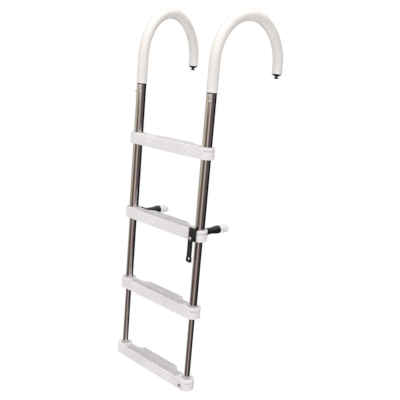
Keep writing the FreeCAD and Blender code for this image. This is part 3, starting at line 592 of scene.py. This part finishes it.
def dome_button(name, node, dome, neck_share, slotted=False):
    """A turned button on the front of a step: shank, neck, and a head with a domed face."""
    low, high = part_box(node)
    centre = middle(node)
    radius = (high.x - low.x) / 2
    neck = radius * neck_share
    long = high.y - low.y
    head = long - dome * 2
    profile = [(0, 0), (neck, 0), (neck, head), (radius - BUTTON_EDGE, head), (radius, head + BUTTON_EDGE)]
    for step in range(1, ROUND_STEPS + 1):
        angle = math.pi / 2 * step / ROUND_STEPS
        profile.append((radius * math.cos(angle) if step < ROUND_STEPS else 0,
                        long - dome + dome * math.sin(angle)))
    bm = turned(profile, 56)
    if slotted:
        slot = (radius * SLOT_PAST, SLOT_HALF)
        mesh = carved(bm, [bar_cutter(slot, slot, SLOT_DEEP, long, SLOT_TURN)])
    else:
        mesh = solid(bm)
    stand = Matrix.Translation((centre.x, high.y, centre.z)) @ Matrix.Rotation(math.pi / 2, 4, "X")
    mesh.transform(stand)
    keep(mesh, name, node)


# --- retaining strap ---------------------------------------------------------------

RIM_WIDE = 1.9 * MM
RIM_PROUD = 0.7 * MM
COLLAR_WIDE = 1.6 * MM
RIVET_HOLE, KEEPER_HOLE = 3.08 * MM, 4.4 * MM
# heights over the middle of the keeper's hole
WIDENS_AT, WIDEST_FROM, WIDEST_TO = 8 * MM, -3 * MM, -6 * MM
TAB_SHARE = 0.96
SIDE_ROUND = 3 * MM
HOLE_SEGMENTS = 36
STRAP_EDGE = 0.28 * MM
EDGE_ANGLE = math.radians(35)


def loop(bm, outline, height):
    """The outline as points of the strap, at one depth from front to back."""
    return [bm.verts.new((x, height, z)) for x, z in outline]


def grown(outline, by):
    """A closed outline moved sideways, to its right for a positive distance."""
    out = []
    for before, here, after in zip(outline[-1:] + outline[:-1], outline, outline[1:] + outline[:1]):
        way = (Vector(after) - Vector(before)).normalized()
        out.append((here[0] + way.y * by, here[1] - way.x * by))
    return out


def round_outline(centre, radius):
    """A circle as a closed outline."""
    angles = [2 * math.pi * step / HOLE_SEGMENTS for step in range(HOLE_SEGMENTS)]
    return [(centre[0] + radius * math.cos(angle), centre[1] + radius * math.sin(angle)) for angle in angles]


def fill_between(bm, outer, holes):
    """A flat face from the outer ring of points to the rings of the holes."""
    edges = []
    for ring in [outer] + holes:
        for first, second in zip(ring, ring[1:] + ring[:1]):
            edges.append(bm.edges.get((first, second)) or bm.edges.new((first, second)))
    bmesh.ops.triangle_fill(bm, edges=edges, use_beauty=True)


def strap():
    """Rubber strap: a sunk face inside a rim, a collar round each hole, widest under the keeper's."""
    node = "retaining_strap"
    low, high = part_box(node)
    pivot = Vector(JOINTS["strap_swivel"]["pos_m"])
    hole_low, hole_high = (Vector(corner) for corner in OPENINGS["strap_buttonhole"])
    hole = (pivot.x, (hole_low.z + hole_high.z) / 2)
    half, wide = high.z - pivot.z, (high.x - low.x) / 2
    back, front = high.y, low.y
    face = front + RIM_PROUD
    side = [(half, hole[1] + WIDENS_AT), (wide, hole[1] + WIDEST_FROM), (wide, hole[1] + WIDEST_TO),
            (half * TAB_SHARE, low.z), (0, low.z)]
    right = [tuple(point) for point in rounded([(half, pivot.z)] + side, SIDE_ROUND, 5)]
    crown = [(half * math.sin(angle), pivot.z + half * math.cos(angle))
             for angle in (math.pi / 2 * step / 12 for step in range(12))]
    right = crown + right[:-1]
    outline = [(pivot.x + x, z) for x, z in right] + [(pivot.x, low.z)]
    outline += [(pivot.x - x, z) for x, z in reversed(right[1:])]

    bm = bmesh.new()
    inner = grown(outline, RIM_WIDE)
    rings = [loop(bm, outline, back), loop(bm, outline, front), loop(bm, inner, front), loop(bm, inner, face)]
    bridge(bm, rings)
    hole_rings = []
    for centre, radius in (((pivot.x, pivot.z), RIVET_HOLE), (hole, KEEPER_HOLE)):
        bore, collar = round_outline(centre, radius), round_outline(centre, radius + COLLAR_WIDE)
        hole_rings.append([loop(bm, bore, back), loop(bm, bore, front),
                           loop(bm, collar, front), loop(bm, collar, face)])
        bridge(bm, hole_rings[-1])
    fill_between(bm, rings[0], [each[0] for each in hole_rings])
    fill_between(bm, rings[3], [each[3] for each in hole_rings])
    piece = keep(solid(bm), "rubber_strap", node, sharp=30)
    soften(piece, STRAP_EDGE)


def soften(piece, width):
    """Bevels the sharp edges of a piece and keeps the result as its mesh."""
    bevel = piece.modifiers.new("soft_edges", "BEVEL")
    bevel.width, bevel.segments, bevel.limit_method = width, 2, "ANGLE"
    bevel.angle_limit = EDGE_ANGLE
    bevel.use_clamp_overlap = True
    bpy.context.view_layer.update()
    depsgraph = bpy.context.evaluated_depsgraph_get()
    mesh = bpy.data.meshes.new_from_object(piece.evaluated_get(depsgraph), depsgraph=depsgraph)
    piece.modifiers.clear()
    piece.data = mesh
    mesh.shade_smooth()
    mesh.set_sharp_from_angle(angle=EDGE_ANGLE)


# --- camera, light and floor -------------------------------------------------------

AZIMUTH, ELEVATION, ROLL = 43.78, 12.69, 5.02
DISTANCE = 1.965
AIM = (0.1556, 0.0, 0.6528)
LENS, SENSOR = 55.72, 36.0


def way_to(azimuth, elevation):
    """The direction of a place round the ladder, from angles in degrees; 0, 0 is straight in front."""
    turn, rise = math.radians(azimuth), math.radians(elevation)
    return Vector((math.sin(turn) * math.cos(rise), -math.cos(turn) * math.cos(rise), math.sin(rise)))


def camera():
    """The eye stands to the right of the ladder's front, a little above its middle."""
    turn, roll = math.radians(AZIMUTH), math.radians(ROLL)
    back = way_to(AZIMUTH, ELEVATION)
    right = Vector((math.cos(turn), math.sin(turn), 0))
    up = back.cross(right)
    rolled_right = right * math.cos(roll) + up * math.sin(roll)
    rolled_up = up * math.cos(roll) - right * math.sin(roll)
    eye = added("eye", bpy.data.cameras.new("eye"))
    eye.data.lens, eye.data.sensor_width = LENS, SENSOR
    eye.data.clip_start, eye.data.clip_end = 0.05, 100.0
    place = Matrix((rolled_right, rolled_up, back)).transposed().to_4x4()
    eye.matrix_world = Matrix.Translation(Vector(AIM) + back * DISTANCE) @ place
    bpy.context.scene.camera = eye


# name, azimuth and elevation in degrees, distance and size in metres, power in watts, colour
LIGHTS = (
    ("key", 70, 24, 3.2, 1.5, 14, (1.0, 0.99, 0.98)),
    ("front", 8, 20, 3.0, 1.8, 15, (1.0, 0.98, 0.99)),
    ("top", 30, 84, 4.6, 2.4, 105, (1.0, 1.0, 1.0)),
)


def area_light(name, azimuth, elevation, distance, size, power, colour):
    """A soft square light that looks at the middle of the ladder."""
    centre = (cad_low + cad_high) / 2
    way = way_to(azimuth, elevation)
    lamp = bpy.data.lights.new(name, "AREA")
    lamp.shape, lamp.size, lamp.energy, lamp.color = "SQUARE", size, power, colour
    holder = added(name, lamp)
    holder.location = centre + way * distance
    holder.rotation_mode = "QUATERNION"
    holder.rotation_quaternion = (-way).to_track_quat("-Z", "Y")


# what stands round the studio, by the angle round it from +X: screens, gaps and a dark door
SURROUNDINGS = (
    (-180, (200, 194, 180)), (-152, (204, 196, 180)), (-134, (236, 230, 216)), (-120, (222, 212, 192)),
    (-107, (132, 120, 102)), (-93, (84, 72, 56)), (-78, (98, 86, 74)), (-64, (150, 138, 128)),
    (-51, (236, 224, 218)), (-38, (222, 208, 202)), (-25, (112, 98, 96)), (0, (100, 90, 92)),
    (24, (108, 98, 102)), (44, (56, 48, 52)), (58, (8, 7, 8)), (130, (4, 4, 4)), (146, (60, 56, 50)),
    (160, (180, 172, 158)),
)
# the same nearer the floor, where more of it is dark
LOW_SURROUNDINGS = (
    (-180, (216, 210, 206)), (-160, (206, 198, 194)), (-146, (120, 108, 104)), (-133, (58, 50, 48)),
    (-104, (108, 96, 92)), (-80, (104, 92, 90)), (-64, (166, 152, 150)), (-46, (204, 188, 188)),
    (-28, (166, 152, 152)), (-10, (98, 88, 88)), (16, (70, 62, 62)), (40, (34, 28, 28)), (60, (6, 5, 5)),
    (140, (4, 4, 4)), (160, (150, 144, 140)),
)
# heights of a ray's direction over which the one gives way to the other, and to the bright ceiling
LOW_FADE = (-0.14, -0.34)
CEILING_FADE = (0.42, 0.62)
CEILING = (1.0, 0.99, 0.98, 1.0)
SOFT_LIGHT = (0.50, 0.49, 0.493, 1.0)
BACKDROP = (1.0, 1.0, 1.0, 1.0)


def studio():
    """Pale sky for the eye and for soft light; bright and dark screens for the polished tubes."""
    world = bpy.data.worlds.new("studio")
    bpy.context.scene.world = world
    world.use_nodes = True
    sky = Nodes(world.node_tree)
    way = sky.add("ShaderNodeSeparateXYZ")
    sky.join(sky.add("ShaderNodeTexCoord").outputs["Generated"], way.inputs[0])
    angle = sky.add("ShaderNodeMath", operation="ARCTAN2")
    sky.join(way.outputs["Y"], angle.inputs[0])
    sky.join(way.outputs["X"], angle.inputs[1])
    share = sky.spread(angle.outputs[0], 0, 1, start=-math.pi, end=math.pi)

    def round_about(places):
        """The colour that the places give in a ray's direction round the studio."""
        ramp = sky.add("ShaderNodeValToRGB")
        sky.join(share, ramp.inputs["Fac"])
        stops = ramp.color_ramp.elements
        while len(stops) > 1:
            stops.remove(stops[-1])
        for number, (degrees, colour) in enumerate(places):
            position = (degrees + 180) / 360
            stop = stops[0] if number == 0 else stops.new(position)
            stop.position = position
            stop.color = linear(*colour)
        return ramp.outputs["Color"]

    lowness = sky.spread(way.outputs["Z"], 0, 1, *LOW_FADE)
    walls = sky.mix(lowness, round_about(SURROUNDINGS), round_about(LOW_SURROUNDINGS))
    screens = sky.mix(sky.spread(way.outputs["Z"], 0, 1, *CEILING_FADE), walls, CEILING)
    path = sky.add("ShaderNodeLightPath")
    soft = sky.mix(path.outputs["Is Glossy Ray"], SOFT_LIGHT, screens)
    seen = sky.mix(path.outputs["Is Camera Ray"], soft, BACKDROP)
    sky.join(seen, sky.tree.nodes["Background"].inputs["Color"])


FLOOR_DROP = 0.35
FLOOR_HALF = 30.0


def floor():
    """A plain pale floor, well below the ladder, which hangs from its hooks; unseen from below."""
    height = cad_low.z - FLOOR_DROP
    mesh = bpy.data.meshes.new("floor")
    corners = [(x * FLOOR_HALF, y * FLOOR_HALF, height) for x, y in ((-1, -1), (1, -1), (1, 1), (-1, 1))]
    mesh.from_pydata(corners, [], [(0, 1, 2, 3)])
    pale = Finish("pale_floor", Roughness=0.9)
    pale.colour(pale.mix(pale.noise(0.4), linear(244, 244, 244), linear(248, 248, 248)))
    lit = pale.add("ShaderNodeEmission")
    chosen = pale.add("ShaderNodeMixShader")
    pale.join(pale.add("ShaderNodeLightPath").outputs["Is Camera Ray"], chosen.inputs[0])
    pale.join(pale.shader.outputs[0], chosen.inputs[1])
    pale.join(lit.outputs[0], chosen.inputs[2])
    one_way = pale.add("ShaderNodeMixShader")
    pale.join(pale.add("ShaderNodeNewGeometry").outputs["Backfacing"], one_way.inputs[0])
    pale.join(chosen.outputs[0], one_way.inputs[1])
    pale.join(pale.add("ShaderNodeBsdfTransparent").outputs[0], one_way.inputs[2])
    pale.join(one_way.outputs[0], pale.tree.nodes["Material Output"].inputs["Surface"])
    mesh.materials.append(pale.material)
    ground = added("floor", mesh)
    ground.visible_glossy = False


# --- the whole scene ---------------------------------------------------------------

camera()
studio()
floor()
for light in LIGHTS:
    area_light(*light)
bpy.context.scene.view_settings.view_transform = "Standard"

for side in SIDES:
    sleeve(side)
    bumper(side)
for group in ("step_1_screws", "step_3_screws", "step_4_screws", "swivel_screws", "standoff_screws"):
    screws(group)
dome_button("domed_rivet", "strap_rivet", 1.1 * MM, 0.5)
dome_button("keeper_button", "strap_keeper", 0.9 * MM, 0.66, slotted=True)
strap()
